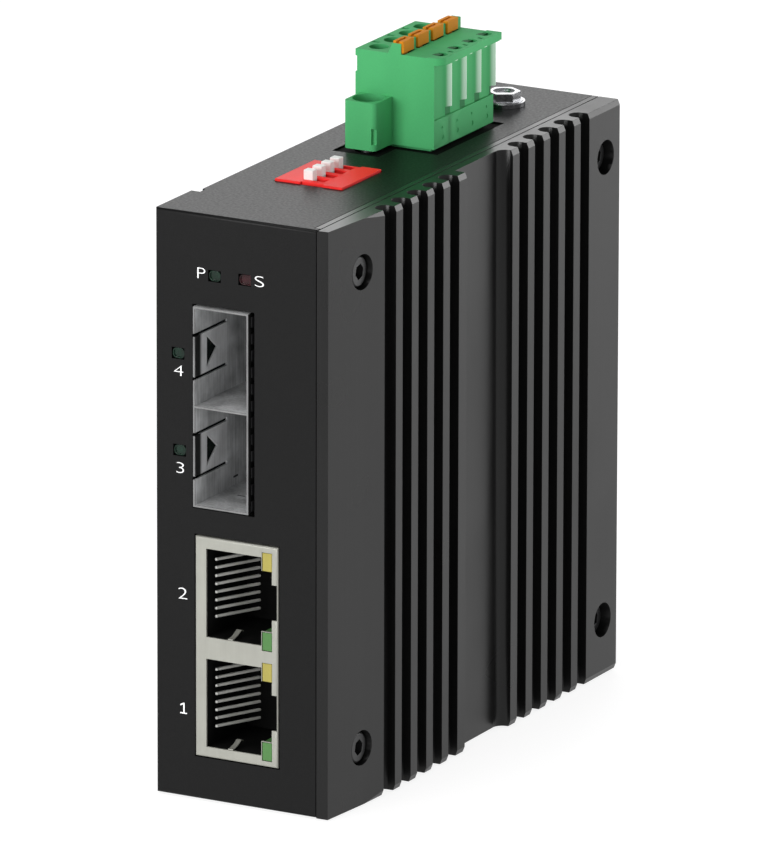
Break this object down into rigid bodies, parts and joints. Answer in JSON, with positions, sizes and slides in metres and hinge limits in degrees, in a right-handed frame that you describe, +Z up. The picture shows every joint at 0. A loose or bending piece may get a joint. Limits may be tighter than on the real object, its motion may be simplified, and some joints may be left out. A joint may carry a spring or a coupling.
{
  "type": "fibre media converter",
  "caption": "Slim rail-mounted fibre media converter: finned side plate, pluggable-optic cage, network jack, slide switches and pluggable push-in terminal block.",
  "frame": {"origin": "centre of the bounding box on the underside", "axes": "+Z up, +X towards the finned side plate, -Y towards the front panel, +Y towards the rail clip"},
  "size_m": [0.0292, 0.0906, 0.1003],
  "materials": {
    "shell_paint": "satin dark grey powder coat",
    "sink_aluminium": "dark anodised, satin",
    "dark_screws": "black oxide, satin",
    "plain_steel": "zinc plated",
    "chrome": "bright plated",
    "board": "solder mask",
    "cage_steel": "nickel plated sheet",
    "black_plastic": "moulded, matt",
    "jack_steel": "nickel plated sheet",
    "contact_gold": "gold plated",
    "lamp_green": "tinted lens",
    "lamp_yellow": "tinted lens",
    "clear_pipe": "translucent",
    "switch_red": "moulded, semi-matt",
    "knob_white": "moulded, semi-matt",
    "plug_green": "moulded, semi-matt",
    "lever_orange": "moulded, semi-matt",
    "bare_aluminium": "machined",
    "pad_grey": "soft, matt",
    "clip_metal": "tumbled die casting",
    "spring_steel": "drawn wire"
  },
  "bodies": {
    "housing": {"main_shell": "shell_paint", "left_rear_cover": "shell_paint", "heat_sink_cover": "sink_aluminium", "side_screws": "dark_screws", "cover_screws": "dark_screws", "corner_posts": "plain_steel", "board_spacers": "plain_steel", "board_screws": "plain_steel", "flange_nuts": "plain_steel", "earth_nut": "plain_steel", "clip_screws": "plain_steel", "clip_nuts": "plain_steel", "earth_screw": "chrome", "circuit_board": "board", "sfp_cage": "cage_steel", "sfp_spring_fingers": "cage_steel", "sfp_connectors": "black_plastic", "jack_body": "black_plastic", "terminal_header": "black_plastic", "converter_chip": "black_plastic", "line_transformer": "black_plastic", "power_inductor": "black_plastic", "switch_base": "black_plastic", "jack_shield": "jack_steel", "jack_contacts": "contact_gold", "header_pins": "contact_gold", "jack_lamps_green": "lamp_green", "jack_lamps_yellow": "lamp_yellow", "light_pipe_power": "clear_pipe", "light_pipe_status": "clear_pipe", "light_pipe_port_3": "clear_pipe", "light_pipe_port_4": "clear_pipe", "indicator_lamps": "clear_pipe", "switch_cover": "switch_red", "heat_spreader": "bare_aluminium", "capacitors": "bare_aluminium", "thermal_pads": "pad_grey", "clip_plate": "clip_metal", "latch_spring": "spring_steel"},
    "plug": {"terminal_plug": "plug_green", "plug_contacts": "contact_gold", "flange_screws": "plain_steel"},
    "latch": {"rail_latch": "clip_metal"},
    "slider_1": {"switch_slider_1": "knob_white"},
    "slider_2": {"switch_slider_2": "knob_white"},
    "slider_3": {"switch_slider_3": "knob_white"},
    "slider_4": {"switch_slider_4": "knob_white"},
    "lever_1": {"release_lever_1": "lever_orange"},
    "lever_2": {"release_lever_2": "lever_orange"},
    "lever_3": {"release_lever_3": "lever_orange"},
    "lever_4": {"release_lever_4": "lever_orange"}
  },
  "joints": [
    {"name": "slider_1_slide", "type": "slide", "parent": "housing", "child": "slider_1", "axis": [1, 0, 0], "range_m": [0, 0.0018]},
    {"name": "slider_2_slide", "type": "slide", "parent": "housing", "child": "slider_2", "axis": [1, 0, 0], "range_m": [0, 0.0018]},
    {"name": "slider_3_slide", "type": "slide", "parent": "housing", "child": "slider_3", "axis": [1, 0, 0], "range_m": [0, 0.0018]},
    {"name": "slider_4_slide", "type": "slide", "parent": "housing", "child": "slider_4", "axis": [1, 0, 0], "range_m": [0, 0.0018]},
    {"name": "plug_lift", "type": "slide", "parent": "housing", "child": "plug", "axis": [0, 0, 1], "range_m": [0, 0.01]},
    {"name": "lever_1_press", "type": "slide", "parent": "plug", "child": "lever_1", "axis": [0, 0, -1], "range_m": [0, 0.0011], "stiffness_N_per_m": 600, "springref_m": -0.0005},
    {"name": "lever_2_press", "type": "slide", "parent": "plug", "child": "lever_2", "axis": [0, 0, -1], "range_m": [0, 0.0011], "stiffness_N_per_m": 600, "springref_m": -0.0005},
    {"name": "lever_3_press", "type": "slide", "parent": "plug", "child": "lever_3", "axis": [0, 0, -1], "range_m": [0, 0.0011], "stiffness_N_per_m": 600, "springref_m": -0.0005},
    {"name": "lever_4_press", "type": "slide", "parent": "plug", "child": "lever_4", "axis": [0, 0, -1], "range_m": [0, 0.0011], "stiffness_N_per_m": 600, "springref_m": -0.0005},
    {"name": "latch_slide", "type": "slide", "parent": "housing", "child": "latch", "axis": [0, 0, -1], "range_m": [0, 0.0032], "stiffness_N_per_m": 1500, "springref_m": -0.002, "deforming": ["latch_spring"]}
  ]
}
